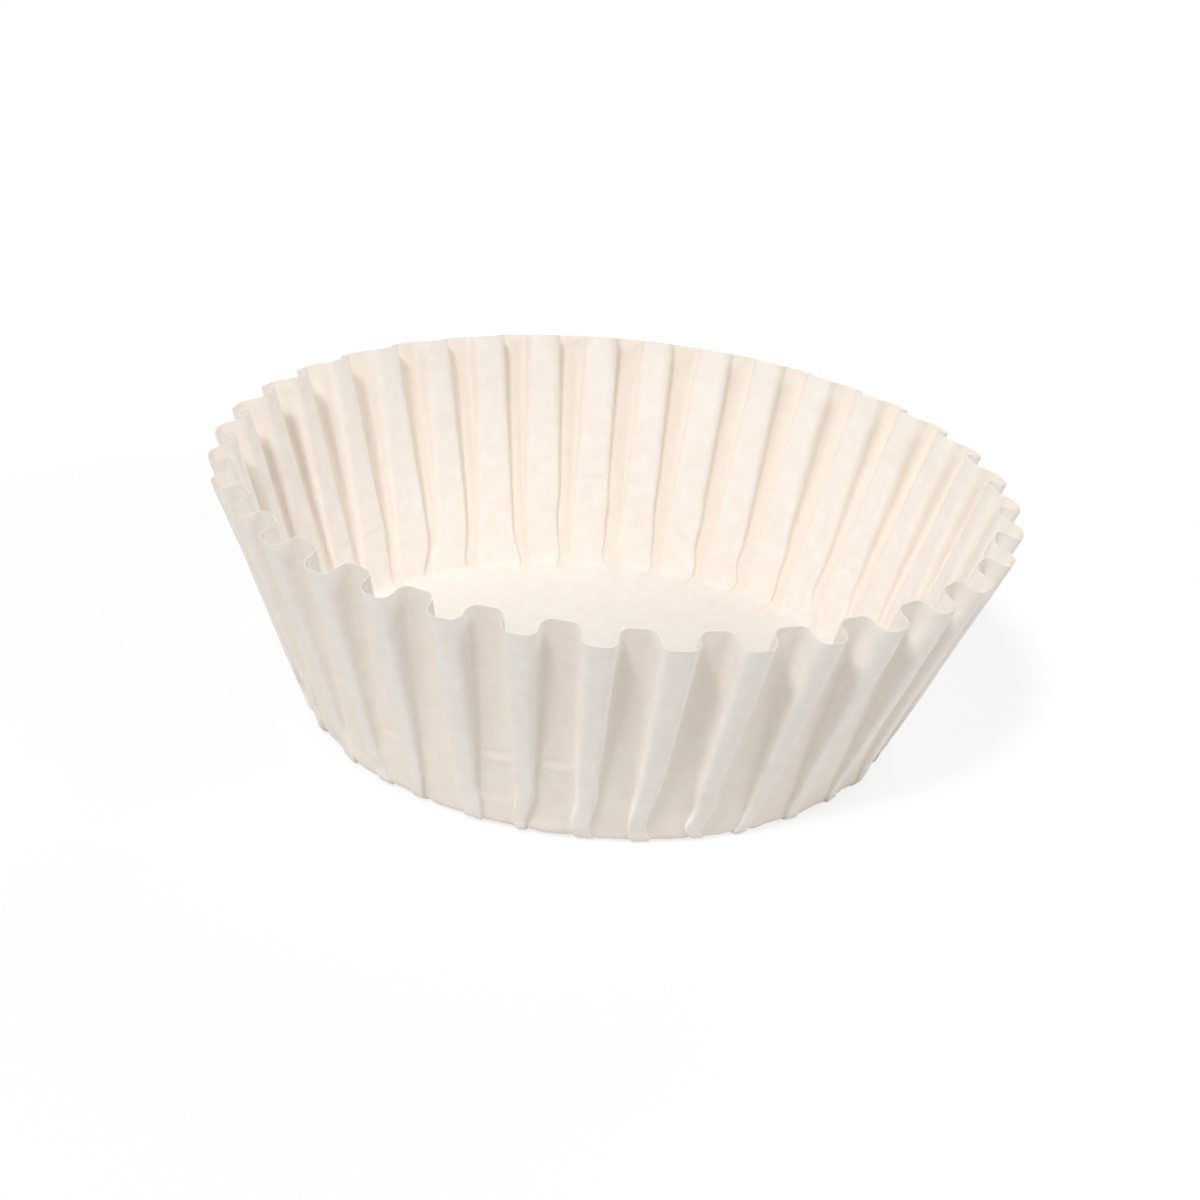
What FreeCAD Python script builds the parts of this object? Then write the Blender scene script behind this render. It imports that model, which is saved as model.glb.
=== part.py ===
import FreeCAD, Part
import math
import os

# A basket coffee filter: one round sheet of thin paper, pressed into a cup with a flat floor
# and a pleated wall that leans outward. Millimetres. The origin is at the middle of the
# underside of the floor, and the cup opens along +Z.
#
# Paper bends one way at a time, so every face of the wall is flat. Each fold is rounded by a
# row of narrow flat strips, and the flanks between the folds are flat too. Folds and flanks
# grow from nearly nothing at the floor's edge to their full size at the rim.

# Driving dimensions of the cup, to the middle of the paper
FLOOR_RADIUS = 65.5  # flat floor, out to the crease at its edge
RIM_RADIUS = 84.0  # halfway between the inward and the outward folds
RIM_HEIGHT = 54.0  # halfway between the inward and the outward folds
PAPER = 0.14  # thickness

# Driving dimensions of the pleats
PLEATS = 36  # outward folds round the wall
RIM_DEPTH = 5.9  # from the inward to the outward folds, at the rim
FOLD_RADIUS = 2.4  # of the round corners of each fold, at the rim
FLANK_TURN = 80.0  # degrees from the middle of an outward fold to its flank
OUT_FLAT = 1.2  # half of the flat middle of an outward fold, the same at any height
CREASE_DEPTH = 0.8  # from the inward to the outward folds, at the floor's edge
FOLD_STEPS = 4  # changes of direction from the middle of a fold to its flank

HALF_PITCH = math.pi / PLEATS  # angle at the axis from an outward fold to the next inward one
WALL_LEAN = math.atan2(RIM_RADIUS - FLOOR_RADIUS, RIM_HEIGHT)
WALL_LENGTH = math.hypot(RIM_RADIUS - FLOOR_RADIUS, RIM_HEIGHT)
OUTSIDE = PAPER / 2 / math.cos(WALL_LEAN)  # middle of the wall's paper to its outer side, level
INSIDE = -OUTSIDE


def strip_runs():
    """Turn and width at the rim of each strip, from an outward fold's middle to an inward one's.

    The first and the last strip lie along the middle of a fold, and their widths leave out its
    flat middle.
    """
    # The flank touches the round corner of the outward fold and that of the inward one. What they
    # leave of the pitch is the flat middle of the inward fold.
    flank_turn = math.radians(FLANK_TURN)
    in_turn = flank_turn - HALF_PITCH
    outermost = RIM_RADIUS + RIM_DEPTH / 2
    innermost = RIM_RADIUS - RIM_DEPTH / 2
    missing = innermost * math.cos(in_turn) - outermost * math.cos(flank_turn)
    rounded = FOLD_RADIUS * (2 - math.cos(in_turn) - math.cos(flank_turn))
    in_flat = (missing - rounded - OUT_FLAT * math.sin(flank_turn)) / math.sin(in_turn)
    flank_length = (
        (outermost - FOLD_RADIUS) * math.sin(flank_turn)
        - (innermost + FOLD_RADIUS) * math.sin(in_turn)
        - OUT_FLAT * math.cos(flank_turn)
        - in_flat * math.cos(in_turn)
    )

    out_step = flank_turn / FOLD_STEPS
    in_step = in_turn / FOLD_STEPS
    out_half = FOLD_RADIUS * math.tan(out_step / 2)
    in_half = FOLD_RADIUS * math.tan(in_step / 2)
    runs = [(0, out_half)]
    for step in range(1, FOLD_STEPS):
        runs.append((step * out_step, 2 * out_half))
    runs.append((flank_turn, out_half + flank_length + in_half))
    for step in range(1, FOLD_STEPS):
        runs.append((flank_turn - step * in_step, 2 * in_half))
    runs.append((HALF_PITCH, in_half))
    return runs


RUNS = strip_runs()


def half_section(height, side):
    """Corners of half a pleat, cut level at a height, from an outward fold to an inward one.

    side is the level distance of the line from the middle of the paper, outward.
    """
    depth = CREASE_DEPTH + (RIM_DEPTH - CREASE_DEPTH) * height / RIM_HEIGHT
    share = depth / RIM_DEPTH
    start = FLOOR_RADIUS + height * math.tan(WALL_LEAN) + depth / 2

    # The corners and the flank grow with the depth. The flat middle of the inward fold takes what
    # is left of the pitch.
    x = start
    y = OUT_FLAT
    corners = []
    for (turn, width), (next_turn, next_width) in zip(RUNS, RUNS[1:]):
        x -= share * width * math.sin(turn)
        y += share * width * math.cos(turn)
        middle = (turn + next_turn) / 2
        out = side / math.cos((next_turn - turn) / 2)
        corners.append(FreeCAD.Vector(x + out * math.cos(middle), y + out * math.sin(middle), height))
    return corners


def half_rim(side):
    """Top ends of the fold lines of half a pleat.

    The sheet is round, so its edge is equally far up each fold line. The inward folds lean less
    than the outward ones and end higher.
    """
    middle_line = zip(half_section(0, 0), half_section(RIM_HEIGHT, 0))
    side_line = zip(half_section(0, side), half_section(RIM_HEIGHT, side))
    ends = []
    for (middle_low, middle_high), (low, high) in zip(middle_line, side_line):
        reach = WALL_LENGTH / middle_low.distanceToPoint(middle_high)
        ends.append(low + (high - low) * reach)
    return ends


def all_round(half):
    """The corners of every half pleat in turn, from those of the first one."""
    ring = []
    for pleat in range(PLEATS):
        turned = FreeCAD.Rotation(FreeCAD.Vector(0, 0, 1), math.degrees(2 * pleat * HALF_PITCH))
        mirror = FreeCAD.Rotation(FreeCAD.Vector(0, 0, 1), math.degrees(2 * (pleat + 1) * HALF_PITCH))
        for corner in half:
            ring.append(turned.multVec(corner))
        for corner in reversed(half):
            ring.append(mirror.multVec(FreeCAD.Vector(corner.x, -corner.y, corner.z)))
    return ring


def flat_face(corners):
    return Part.Face(Part.makePolygon(corners + corners[:1]))


def wall_side(low, high):
    """One side of the wall: a flat strip between each two fold lines."""
    faces = []
    for index in range(len(low)):
        after = (index + 1) % len(low)
        faces.append(flat_face([low[index], low[after], high[after], high[index]]))
    return faces


def cut_edge(outer, inner):
    """The edge of the paper round the rim, as two triangles to each strip."""
    faces = []
    for index in range(len(outer)):
        after = (index + 1) % len(outer)
        faces.append(flat_face([outer[index], outer[after], inner[after]]))
        faces.append(flat_face([outer[index], inner[after], inner[index]]))
    return faces


def paper_filter():
    under = all_round(half_section(0, OUTSIDE))
    floor = all_round(half_section(PAPER, INSIDE))
    outer_rim = all_round(half_rim(OUTSIDE))
    inner_rim = all_round(half_rim(INSIDE))
    faces = [flat_face(under), flat_face(floor)]
    faces += wall_side(under, outer_rim)
    faces += wall_side(floor, inner_rim)
    faces += cut_edge(outer_rim, inner_rim)
    solid = Part.Solid(Part.Shell(faces))
    if solid.Volume < 0:
        solid.reverse()
    return solid


os.makedirs("parts", exist_ok=True)
paper_filter().exportStep("parts/paper_filter.step")
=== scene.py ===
import math

import bpy
import numpy as np
from mathutils import Matrix, Vector, noise


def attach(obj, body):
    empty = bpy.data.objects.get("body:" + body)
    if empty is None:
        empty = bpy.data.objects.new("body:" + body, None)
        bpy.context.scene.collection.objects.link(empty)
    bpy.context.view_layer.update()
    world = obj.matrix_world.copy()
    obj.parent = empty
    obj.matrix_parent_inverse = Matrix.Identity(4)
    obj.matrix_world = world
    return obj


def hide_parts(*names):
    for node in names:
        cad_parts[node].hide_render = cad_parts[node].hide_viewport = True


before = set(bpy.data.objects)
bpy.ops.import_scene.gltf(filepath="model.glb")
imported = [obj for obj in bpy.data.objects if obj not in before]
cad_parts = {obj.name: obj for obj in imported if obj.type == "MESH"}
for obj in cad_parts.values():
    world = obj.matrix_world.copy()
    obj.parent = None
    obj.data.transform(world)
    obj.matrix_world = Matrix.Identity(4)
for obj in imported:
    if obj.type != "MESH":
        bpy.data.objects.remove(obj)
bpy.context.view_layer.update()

# A basket coffee filter: one round sheet of paper pressed into a cup with a pleated wall.
# Lengths are in metres. The sheet is drawn as rows of points at a distance from the sheet's
# middle, and columns of points that follow the folds from the floor up to the rim.

MM = 0.001

# The cup, to the middle of the paper
FLOOR_RADIUS = 65.5 * MM
RIM_RADIUS = 84.0 * MM
RIM_HEIGHT = 54.0 * MM
PAPER = 0.14 * MM  # thickness
CORNER_RADIUS = 1.6 * MM  # the crease round the floor is pressed, not knife sharp

# The pleats, measured square to the wall
PLEATS = 36
RIM_DEPTH = 5.5 * MM
FOLD_RADIUS = 2.3 * MM
FLANK_TURN = math.radians(92)  # from a fold's middle to its flank, where the pleats are deep
OUT_FLAT = 1.2 * MM  # half of the flat middle of an outward fold, the same at any height
CREASE_SHARE = 0.10  # depth of the pleats at the floor's edge, as a share of that at the rim
CREASE_REACH = 9.0 * MM  # how far the folds run on into the floor
LEAST_SHARE = 0.002  # of the depth, where the pleats have died out

# The round corners of a fold where the pleats are shallow, by the crease and in the floor
CORNER_RUN = 0.3 * MM  # least width of one
CORNER_DROP = 0.45  # greatest share of the depth in one

# How uneven the fold lines are
FOLD_DRIFT = 0.55 * MM  # off their even spacing
DEPTH_DRIFT = 0.1  # share of the depth
KINK = 2.4 * MM  # sideways kinks just above the floor
KINK_HEIGHT = 8.0 * MM

# How uneven the paper between them is
DENT = 0.16 * MM  # shallow dents all over
CRUMPLE = 0.50 * MM  # small wrinkles by the crease
CRUMPLE_REACH = 8.0 * MM
OUT_OF_ROUND = 0.7 * MM  # the rim is a little oval
OVAL_TURN = 0.7  # radians, twice the angle from +X back to the oval's long side
RIM_WAVER = 0.25 * MM  # the cut edge, up and down
RIM_WAVER_REACH = 6.0 * MM

# Curved wrinkles across the inward folds, where the press let go of them
CRESCENT = 0.75 * MM
CRESCENT_USUAL = 0.5  # share of CRESCENT in most of them, some are deeper and some are missing
CRESCENT_HEIGHT = 17.95 * MM  # of its middle above the crease, give or take CRESCENT_SCATTER
CRESCENT_SCATTER = 4.0 * MM
CRESCENT_WIDTH = 1.0 * MM
CRESCENT_SAG = 0.875 * MM  # how far its middle hangs below its ends
CRESCENT_HALF = 0.5  # half of its length, as a share of half a pleat

# Fineness of the noises, per metre
DRIFT_PACE = 12
KINK_PACE = 130
DEPTH_PACE = 25
DENT_PACE = 95
CRUMPLE_PACE = 330
RIM_PACE = 60

# Which noise each kind of unevenness takes, so that no two are alike
DRIFT_CHANNEL = 1
KINK_CHANNEL = 2
DEPTH_CHANNEL = 3
CRESCENT_HEIGHT_CHANNEL = 5
CRESCENT_CHANNEL = 44
FOLD_STEP = 3.17  # in the noise, from one fold to the next
CHANNEL_STEP = 11.3
CRUMPLE_SHIFT = Vector((5, 0, 0))
RIM_SHIFT = Vector((0, 9, 0))

# The mesh
ARC_STEPS = 4  # in each round corner of a fold
ROW_BANDS = (  # start in mm from the crease, and rows up to the next start
    (-14, 5),
    (-5, 15),
    (9, 4),
    (14, 14),
    (25, 12),
)
CENTRE_RINGS = (  # radius in mm, and how many points of the ring outside it each point takes
    (44, 2),
    (33, 2),
    (20, 2),
    (9, 3),
)
SHARP_ANGLE = math.radians(55)  # a sharper edge is shaded as an edge, such as the paper's cut

# The paper's colours, and painted shade in the grooves
PALE = (0.975, 0.93, 0.875)
WARM = (0.945, 0.868, 0.798)
FLECK = (0.975, 0.925, 0.87)
# painted shade: a darker, warmer colour for the grooves, standing in for the shade and the warm
# bounced light inside the folds
GROOVE_SHADE_COLOUR = (0.86, 0.71, 0.56)
GROOVE_SHADE_SHARE = 0.25  # share of the painted shade colour in the deepest part of a groove
STREAK_TINT = 0.3  # share of WARM in a streak

# The paper's texture, scales per metre
FIBRE_SCALES = (420, 380)  # two layers of fibres that lie across each other
FIBRE_TURNS = ((0.3, 0.2, 0.5), (1.2, 0.9, 2.1))
FIBRE_STRETCHES = ((1, 5, 5), (5, 1, 5))
CLOUD_SCALE = 260.0
BROAD_SCALE = 38.0
STREAK_SCALE = 800
STREAK_STRETCH = (1, 1, 0.1)  # drawn out up the wall
ROUGHNESS = 0.8
ROUGHNESS_RANGE = 0.12
CLOUD_GRAIN = 0.8  # share of the clouds in the bump
GRAIN_STRENGTH = 0.6
GRAIN_HEIGHT = 0.2 * MM
SPECULAR = 0.25
SUBSURFACE = 0.12
SUBSURFACE_RADIUS = (1.0, 0.8, 0.6)
SUBSURFACE_SCALE = 0.5 * MM

# The stage
FLOOR_SIZE = 8.0
FLOOR_DROP = 0.02 * MM  # below the filter, so that the two faces don't touch
FLOOR_GREY = 0.75
FLOOR_GLOW = 0.68  # share of the floor's look that is plain white, the rest keeps the shadow
GLOW_STRENGTH = 1.14
AMBIENT = 0.34
LAMPS = (  # name, direction that the light comes from, strength, degrees that the lamp fills
    ("key", (-0.28, -0.52, 0.78), 1.55, 10),
    ("side", (-0.9, -0.35, 0.25), 0.32, 20),
    ("fill", (0.8, -0.3, 0.5), 0.7, 30),
    ("back", (0.3, 0.8, 0.4), 0.6, 30),
)
WHITE = (1, 1, 1, 1)

# The camera, as in the photograph
CAMERA_BACK = 428 * MM  # from the filter's axis
CAMERA_ABOVE_RIM = 173 * MM
CAMERA_AIM = Vector((-1 * MM, -4 * MM, 24 * MM))
CAMERA_ROLL = math.radians(5.5)
LENS_MM = 64
SENSOR_MM = 36

FOLD_COUNT = 2 * PLEATS
HALF_PITCH = math.pi / PLEATS
WALL_LEAN = math.atan2(RIM_RADIUS - FLOOR_RADIUS, RIM_HEIGHT)
WALL_LENGTH = math.hypot(RIM_RADIUS - FLOOR_RADIUS, RIM_HEIGHT)
SHEET_RADIUS = FLOOR_RADIUS + WALL_LENGTH
CORNER_TURN = math.pi / 2 - WALL_LEAN
CORNER_TANGENT = CORNER_RADIUS * math.tan(CORNER_TURN / 2)
CORNER_LENGTH = CORNER_RADIUS * CORNER_TURN


def profile(distance):
    """Radius and height of the unpleated cup, this far along the paper, and its outward normal.

    distance is measured from the middle of the floor along the paper.
    """
    bend_start = FLOOR_RADIUS - CORNER_TANGENT
    if distance <= bend_start:
        return distance, 0.0, 0.0, -1.0
    turned = (distance - bend_start) / CORNER_RADIUS
    if turned < CORNER_TURN:
        radius = bend_start + CORNER_RADIUS * math.sin(turned)
        height = CORNER_RADIUS * (1 - math.cos(turned))
        return radius, height, math.sin(turned), -math.cos(turned)
    along = distance - bend_start - CORNER_LENGTH + CORNER_TANGENT
    radius = FLOOR_RADIUS + along * math.sin(WALL_LEAN)
    height = along * math.cos(WALL_LEAN)
    return radius, height, math.cos(WALL_LEAN), -math.sin(WALL_LEAN)


def depth_share(distance):
    """Depth of the pleats, as a share of their depth at the rim."""
    up_wall = (distance - FLOOR_RADIUS) / WALL_LENGTH
    if up_wall >= 0:
        return CREASE_SHARE + (1 - CREASE_SHARE) * up_wall
    fade = max(0.0, 1 + (distance - FLOOR_RADIUS) / CREASE_REACH)
    return CREASE_SHARE * fade * fade


def half_pleat(share, half_width):
    """Columns of half a pleat, from an outward fold's middle to the inward fold's.

    Each is a place along the half pleat, from 0 to 1, and a height of the wave, from 1 to -1.
    A corner has a least width, so the flanks are gentler where the pleats are shallow.
    """
    share = max(share, LEAST_SHARE)
    depth = RIM_DEPTH * share
    flank_turn = min(FLANK_TURN, 2 * math.atan(CORNER_DROP * depth / CORNER_RUN))
    radius = max(FOLD_RADIUS * share, CORNER_RUN / math.sin(flank_turn))
    fold_drop = radius * (1 - math.cos(flank_turn))
    flank_run = (depth - 2 * fold_drop) / math.tan(flank_turn)
    inward_start = OUT_FLAT + 2 * radius * math.sin(flank_turn) + flank_run
    turns = [flank_turn * step / ARC_STEPS for step in range(ARC_STEPS + 1)]
    points = [(0.0, 0.0)]
    for turn in turns:
        points.append((OUT_FLAT + radius * math.sin(turn), radius * (1 - math.cos(turn))))
    for turn in reversed(turns):
        points.append((inward_start - radius * math.sin(turn), depth - radius * (1 - math.cos(turn))))
    points.append(((inward_start + half_width) / 2, depth))
    points.append((half_width, depth))
    return [(run / half_width, 1 - 2 * drop / depth) for run, drop in points]


def mirrored(columns):
    """The columns from an inward fold to an outward one."""
    return [(1 - place, -level) for place, level in reversed(columns)]


def fold_value(index, channel, distance=0.0, pace=0.0):
    """A smooth random number from about -1 to 1 that changes from fold to fold and up the wall."""
    place = Vector((index % FOLD_COUNT * FOLD_STEP, distance * pace, channel * CHANNEL_STEP))
    return 2 * noise.noise(place)


def fold_line(index, distance):
    """Angle of one fold line at a row, and height of the wave there, about 1 or -1."""
    radius = profile(distance)[0]
    above = max(0.0, distance - FLOOR_RADIUS)
    inside = max(0.0, FLOOR_RADIUS - distance)
    drift = FOLD_DRIFT * fold_value(index, DRIFT_CHANNEL, distance, DRIFT_PACE)
    kink = KINK * math.exp(-above / KINK_HEIGHT) * math.exp(-inside / CREASE_REACH)
    drift += kink * fold_value(index, KINK_CHANNEL, distance, KINK_PACE)
    angle = index * HALF_PITCH + drift / radius
    side = 1 if index % 2 == 0 else -1
    height = side * (1 + DEPTH_DRIFT * fold_value(index, DEPTH_CHANNEL, distance, DEPTH_PACE))
    return angle, height


def wave_columns(distance):
    """The columns of a row, all the way round.

    Each is the number of the fold before it, its place from that fold to the next one, its angle,
    and how far it stands out in the wave, from 1 to -1.
    """
    outward_first = half_pleat(depth_share(distance), HALF_PITCH * profile(distance)[0])
    inward_first = mirrored(outward_first)
    lines = [fold_line(index, distance) for index in range(FOLD_COUNT)]
    found = []
    for index, (angle, wave) in enumerate(lines):
        next_angle, next_wave = lines[(index + 1) % FOLD_COUNT]
        if index == FOLD_COUNT - 1:
            next_angle += 2 * math.pi
        middle = (wave + next_wave) / 2
        swing = (wave - next_wave) / 2
        columns = outward_first if index % 2 == 0 else inward_first
        for place, level in columns[:-1]:
            turn = angle + (next_angle - angle) * place
            found.append((index, place, turn, middle + swing * level))
    return found


def crescent(index, place, distance):
    """How far a curved wrinkle pushes the paper out here."""
    lobe = index // 2  # both halves of an inward fold belong to one lobe
    height = CRESCENT_HEIGHT + CRESCENT_SCATTER * fold_value(lobe, CRESCENT_HEIGHT_CHANNEL)
    across = 1 - place if index % 2 == 0 else place  # from the middle of the inward fold
    to_end = across / CRESCENT_HALF  # 1 at its end
    line = height + CRESCENT_SAG * to_end * to_end
    away = (distance - FLOOR_RADIUS - line) / CRESCENT_WIDTH
    share = min(1.0, max(0.0, CRESCENT_USUAL + fold_value(lobe, CRESCENT_CHANNEL)))
    fade = max(0.0, 1 - to_end * to_end)
    return -CRESCENT * share * fade * away * math.exp(-away * away)


def unevenness(at, turn, distance):
    """How far the paper is pushed out of its even pleats here."""
    near_crease = math.exp(-abs(distance - FLOOR_RADIUS) / CRUMPLE_REACH)
    offset = DENT * noise.noise(at * DENT_PACE)
    offset += CRUMPLE * near_crease * noise.noise(at * CRUMPLE_PACE + CRUMPLE_SHIFT)
    offset += OUT_OF_ROUND * depth_share(distance) * math.cos(2 * turn + OVAL_TURN)
    return offset


def row_points(distance):
    """One row of the sheet's middle surface, all the way round.

    Each point is followed by how far it stands out in the wave, from 1 to -1. This fades in the
    floor, together with the pleats.
    """
    radius, height, out, up = profile(distance)
    share = depth_share(distance)
    near_rim = max(0.0, 1 - (SHEET_RADIUS - distance) / RIM_WAVER_REACH)
    points = []
    for index, place, turn, stand in wave_columns(distance):
        at = Vector((radius * math.cos(turn), radius * math.sin(turn), height))
        offset = RIM_DEPTH * share / 2 * stand
        offset += unevenness(at, turn, distance)
        offset += crescent(index, place, distance)
        lift = RIM_WAVER * near_rim * noise.noise(at * RIM_PACE + RIM_SHIFT)
        reach = radius + offset * out - lift * up
        top = height + offset * up + lift * out
        shown = stand * min(1.0, share / CREASE_SHARE)
        points.append((reach * math.cos(turn), reach * math.sin(turn), top, shown))
    return points


def sheet_rows():
    """Distances from the middle of the sheet, close together by the crease and the wrinkles."""
    ends = [FLOOR_RADIUS + start * MM for start, _ in ROW_BANDS] + [SHEET_RADIUS]
    rows = []
    for (_, count), start, end in zip(ROW_BANDS, ends, ends[1:]):
        rows += [start + (end - start) * step / count for step in range(count)]
    return rows + [SHEET_RADIUS]


def grid_normals(grid):
    """Unit normals of the middle surface, pointing to the outside of the cup."""
    around = np.roll(grid, -1, axis=1) - np.roll(grid, 1, axis=1)
    outward = np.gradient(grid, axis=0)
    normals = np.cross(around, outward)
    return normals / np.linalg.norm(normals, axis=2, keepdims=True)


def ring_points(count, radius, height):
    """Points of a ring in the floor, with the same shallow dents as the rest."""
    points = []
    for step in range(count):
        turn = 2 * math.pi * step / count
        at = Vector((radius * math.cos(turn), radius * math.sin(turn), 0))
        points.append((at.x, at.y, height - DENT * noise.noise(at * DENT_PACE)))
    return points


def grid_faces(rows, columns, first):
    """Faces between the rows. first is the number of the first point."""
    faces = []
    for row in range(rows - 1):
        low = first + row * columns
        high = low + columns
        for column in range(columns):
            after = (column + 1) % columns
            faces.append((low + column, low + after, high + after, high + column))
    return faces


def ring_faces(outer, inner):
    """Faces from one ring of points in to the next, which has fewer."""
    joined = len(outer) // len(inner)
    faces = []
    for step, near in enumerate(inner):
        far = inner[(step + 1) % len(inner)]
        corners = [outer[(step * joined + extra) % len(outer)] for extra in range(joined + 1)]
        for extra in range(joined // 2):
            faces.append((near, corners[extra + 1], corners[extra]))
        faces.append((near, far, corners[joined // 2]))
        for extra in range(joined // 2, joined):
            faces.append((far, corners[extra + 1], corners[extra]))
    return faces


def skin(grid, normals, side, first):
    """Points and faces of one side of the paper.

    side is the distance from the paper's middle, and first the number of the first point.
    """
    rows, columns = grid.shape[:2]
    points = [tuple(point) for point in (grid + side * normals).reshape(-1, 3)]
    faces = grid_faces(rows, columns, first)
    outer = list(range(first, first + columns))
    for radius, joined in CENTRE_RINGS:
        start = first + len(points)
        inner = list(range(start, start + len(outer) // joined))
        points += ring_points(len(inner), radius * MM, -side)
        faces += ring_faces(outer, inner)
        outer = inner
    centre = first + len(points)
    points.append((0.0, 0.0, -side))
    for step, corner in enumerate(outer):
        faces.append((centre, outer[(step + 1) % len(outer)], corner))
    return points, faces


def mark_groove_shade(mesh, stand, inside_start):
    """Store on each point how deep it lies in a groove, seen from its own side of the paper. This is
    the mask for the painted shade in the grooves.
    """
    groove_shade_depths = np.zeros(len(mesh.vertices), dtype=np.float32)
    groove_shade_depths[: len(stand)] = np.clip(-stand, 0, 1) ** 2
    groove_shade_depths[inside_start : inside_start + len(stand)] = np.clip(stand, 0, 1) ** 2
    mesh.attributes.new("groove_shade", "FLOAT", "POINT").data.foreach_set("value", groove_shade_depths)


def filter_mesh():
    """The sheet as a closed mesh: its outer side, its inner side and the cut edge at the rim."""
    sheet = np.array([row_points(distance) for distance in sheet_rows()])
    grid = sheet[:, :, :3]
    normals = grid_normals(grid)
    outside, faces = skin(grid, normals, PAPER / 2, 0)
    inside, inside_faces = skin(grid, normals, -PAPER / 2, len(outside))
    faces += [tuple(reversed(face)) for face in inside_faces]
    rows, columns = grid.shape[:2]
    outer_rim = (rows - 1) * columns
    inner_rim = outer_rim + len(outside)
    for column in range(columns):
        after = (column + 1) % columns
        faces.append((outer_rim + column, outer_rim + after, inner_rim + after, inner_rim + column))

    points = np.array(outside + inside)
    points[:, 2] -= points[:, 2].min()
    mesh = bpy.data.meshes.new("pleated_sheet")
    mesh.from_pydata(points.tolist(), [], faces)
    # the groove mask drives the painted shade in the paper's colour
    mark_groove_shade(mesh, sheet[:, :, 3].ravel(), len(outside))
    mesh.validate()
    mesh.shade_smooth()
    mesh.set_sharp_from_angle(angle=SHARP_ANGLE)
    return mesh


def link(object_):
    bpy.context.scene.collection.objects.link(object_)
    return object_


def node(tree, kind, **inputs):
    """A shader node with its plain values set. An input's spaces are written as underscores."""
    made = tree.nodes.new(kind)
    for name, value in inputs.items():
        made.inputs[name.replace("_", " ")].default_value = value
    return made


def colour_mix(tree, factor, first, second):
    """A colour that goes from first to second. Each is a colour or an output of another node."""
    mix = tree.nodes.new("ShaderNodeMix")
    mix.data_type = "RGBA"
    tree.links.new(factor, mix.inputs[0])
    for slot, value in ((6, first), (7, second)):
        if isinstance(value, tuple):
            mix.inputs[slot].default_value = (*value, 1)
        else:
            tree.links.new(value, mix.inputs[slot])
    return mix.outputs[2]


def sum_or_product(tree, operation, first, second):
    made = tree.nodes.new("ShaderNodeMath")
    made.operation = operation
    for slot, value in enumerate((first, second)):
        if isinstance(value, float):
            made.inputs[slot].default_value = value
        else:
            tree.links.new(value, made.inputs[slot])
    return made.outputs[0]


def add(tree, first, second):
    return sum_or_product(tree, "ADD", first, second)


def multiply(tree, first, second):
    return sum_or_product(tree, "MULTIPLY", first, second)


def ramp(tree, value, low, high):
    """value spread from 0 at low to 1 at high."""
    spread = node(tree, "ShaderNodeMapRange", From_Min=low, From_Max=high)
    tree.links.new(value, spread.inputs["Value"])
    return spread.outputs["Result"]


def plain_noise(tree, coordinates, **inputs):
    texture = node(tree, "ShaderNodeTexNoise", **inputs)
    tree.links.new(coordinates, texture.inputs["Vector"])
    return texture.outputs["Fac"]


def stretched_noise(tree, coordinates, turn, stretch, scale):
    """Noise drawn out into fibres that lie along one direction."""
    mapping = node(tree, "ShaderNodeMapping", Rotation=turn, Scale=stretch)
    tree.links.new(coordinates, mapping.inputs["Vector"])
    return plain_noise(tree, mapping.outputs["Vector"], Scale=scale, Detail=3.0, Roughness=0.6)


def paper_colour(tree, where, fibres, clouds):
    """Pale paper with warmer clouds, lighter flecks, faint streaks up the wall, and painted shade
    that makes the grooves darker and warmer.
    """
    tint = colour_mix(tree, ramp(tree, clouds, 0.3, 0.7), PALE, WARM)
    fleck = colour_mix(tree, ramp(tree, fibres, 0.3, 0.5), tint, FLECK)
    broad = plain_noise(tree, where, Scale=BROAD_SCALE, Detail=2.0)
    colour = colour_mix(tree, ramp(tree, broad, 0.35, 0.65), fleck, tint)
    streaks = stretched_noise(tree, where, (0, 0, 0), STREAK_STRETCH, STREAK_SCALE)
    streaks = multiply(tree, ramp(tree, streaks, 0.45, 0.7), STREAK_TINT)
    colour = colour_mix(tree, streaks, colour, WARM)
    # painted shade: the colour is mixed towards a darker, warmer one by how deep a point lies in a
    # groove
    groove_shade = tree.nodes.new("ShaderNodeAttribute")
    groove_shade.attribute_name = "groove_shade"
    return colour_mix(tree, multiply(tree, groove_shade.outputs["Fac"], GROOVE_SHADE_SHARE), colour, GROOVE_SHADE_COLOUR)


def paper_material():
    material = bpy.data.materials.new("filter_paper")
    material.use_nodes = True
    tree = material.node_tree
    shader = tree.nodes["Principled BSDF"]
    where = tree.nodes.new("ShaderNodeTexCoord").outputs["Object"]

    layers = []
    for turn, stretch, scale in zip(FIBRE_TURNS, FIBRE_STRETCHES, FIBRE_SCALES):
        layers.append(stretched_noise(tree, where, turn, stretch, scale))
    fibres = multiply(tree, *layers)
    clouds = plain_noise(tree, where, Scale=CLOUD_SCALE, Detail=4.0, Roughness=0.62)
    tree.links.new(paper_colour(tree, where, fibres, clouds), shader.inputs["Base Color"])

    rough = multiply(tree, ramp(tree, fibres, 0.1, 0.5), ROUGHNESS_RANGE)
    tree.links.new(add(tree, rough, ROUGHNESS), shader.inputs["Roughness"])

    bump = node(tree, "ShaderNodeBump", Strength=GRAIN_STRENGTH, Distance=GRAIN_HEIGHT)
    grain = add(tree, fibres, multiply(tree, clouds, CLOUD_GRAIN))
    tree.links.new(grain, bump.inputs["Height"])
    tree.links.new(bump.outputs["Normal"], shader.inputs["Normal"])

    shader.inputs["Specular IOR Level"].default_value = SPECULAR
    shader.inputs["Subsurface Weight"].default_value = SUBSURFACE
    shader.inputs["Subsurface Radius"].default_value = SUBSURFACE_RADIUS
    shader.inputs["Subsurface Scale"].default_value = SUBSURFACE_SCALE
    return material


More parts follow.
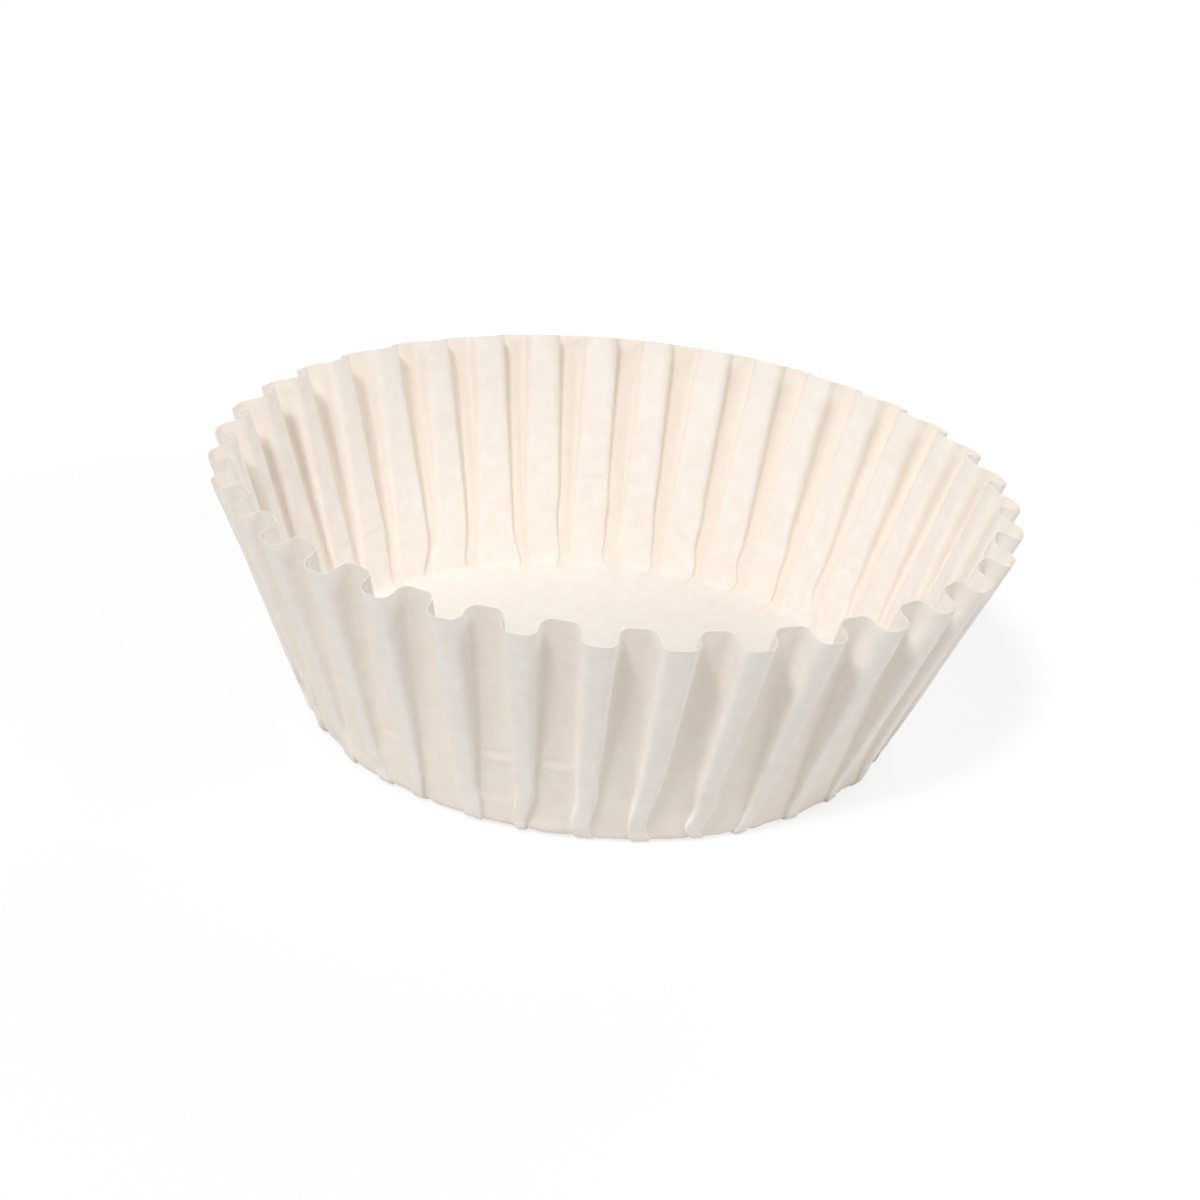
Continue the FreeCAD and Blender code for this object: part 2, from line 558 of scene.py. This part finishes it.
def paper_filter():
    piece = link(bpy.data.objects.new("pleated_paper", filter_mesh()))
    piece.data.materials.append(paper_material())
    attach(piece, "root")
    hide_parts("paper_filter")


def seen_directly(tree):
    """1 for what the camera sees itself or in a glossy surface, and 0 for light on the object."""
    path = tree.nodes.new("ShaderNodeLightPath")
    return add(tree, path.outputs["Is Camera Ray"], path.outputs["Is Glossy Ray"])


def shader_mix(tree, factor, first, second):
    mix = tree.nodes.new("ShaderNodeMixShader")
    for slot, output in enumerate((factor, first.outputs[0], second.outputs[0])):
        tree.links.new(output, mix.inputs[slot])
    return mix.outputs[0]


def studio_floor():
    """A plain white floor that shows the object's shadow softly."""
    material = bpy.data.materials.new("floor")
    material.use_nodes = True
    tree = material.node_tree
    tree.nodes.clear()
    matt = node(tree, "ShaderNodeBsdfDiffuse", Color=(FLOOR_GREY, FLOOR_GREY, FLOOR_GREY, 1))
    glow = node(tree, "ShaderNodeEmission", Color=WHITE, Strength=GLOW_STRENGTH)
    out = tree.nodes.new("ShaderNodeOutputMaterial")
    share = multiply(tree, seen_directly(tree), FLOOR_GLOW)
    tree.links.new(shader_mix(tree, share, matt, glow), out.inputs["Surface"])

    mesh = bpy.data.meshes.new("floor")
    half = FLOOR_SIZE / 2
    corners = [(-half, -half, 0), (half, -half, 0), (half, half, 0), (-half, half, 0)]
    mesh.from_pydata(corners, [], [(0, 1, 2, 3)])
    mesh.materials.append(material)
    floor = link(bpy.data.objects.new("floor", mesh))
    floor.location.z = -FLOOR_DROP


def world_light():
    """Even light from all round. Seen directly, it is plain white."""
    world = bpy.data.worlds.new("studio")
    bpy.context.scene.world = world
    world.use_nodes = True
    tree = world.node_tree
    tree.nodes.clear()
    ambient = node(tree, "ShaderNodeBackground", Color=WHITE, Strength=AMBIENT)
    white = node(tree, "ShaderNodeBackground", Color=WHITE, Strength=1.0)
    out = tree.nodes.new("ShaderNodeOutputWorld")
    tree.links.new(shader_mix(tree, seen_directly(tree), ambient, white), out.inputs["Surface"])


def far_lamp(name, source, strength, spread):
    """A lamp far off in the direction of source, so that the floor is lit evenly."""
    light = bpy.data.lights.new(name, "SUN")
    light.energy = strength
    light.angle = math.radians(spread)
    lamp = link(bpy.data.objects.new(name, light))
    lamp.rotation_mode = "QUATERNION"
    lamp.rotation_quaternion = (-Vector(source)).to_track_quat("-Z", "Y")


def camera():
    data = bpy.data.cameras.new("camera")
    data.lens = LENS_MM
    data.sensor_width = SENSOR_MM
    viewer = link(bpy.data.objects.new("camera", data))
    viewer.location = (0, -CAMERA_BACK, RIM_HEIGHT + CAMERA_ABOVE_RIM)
    direction = CAMERA_AIM - viewer.location
    look = direction.to_track_quat("-Z", "Y").to_matrix().to_4x4()
    viewer.rotation_mode = "QUATERNION"
    viewer.rotation_quaternion = (look @ Matrix.Rotation(CAMERA_ROLL, 4, "Z")).to_quaternion()
    bpy.context.scene.camera = viewer


paper_filter()
studio_floor()
world_light()
for name, source, strength, spread in LAMPS:
    far_lamp(name, source, strength, spread)
camera()
bpy.context.scene.view_settings.view_transform = "Standard"
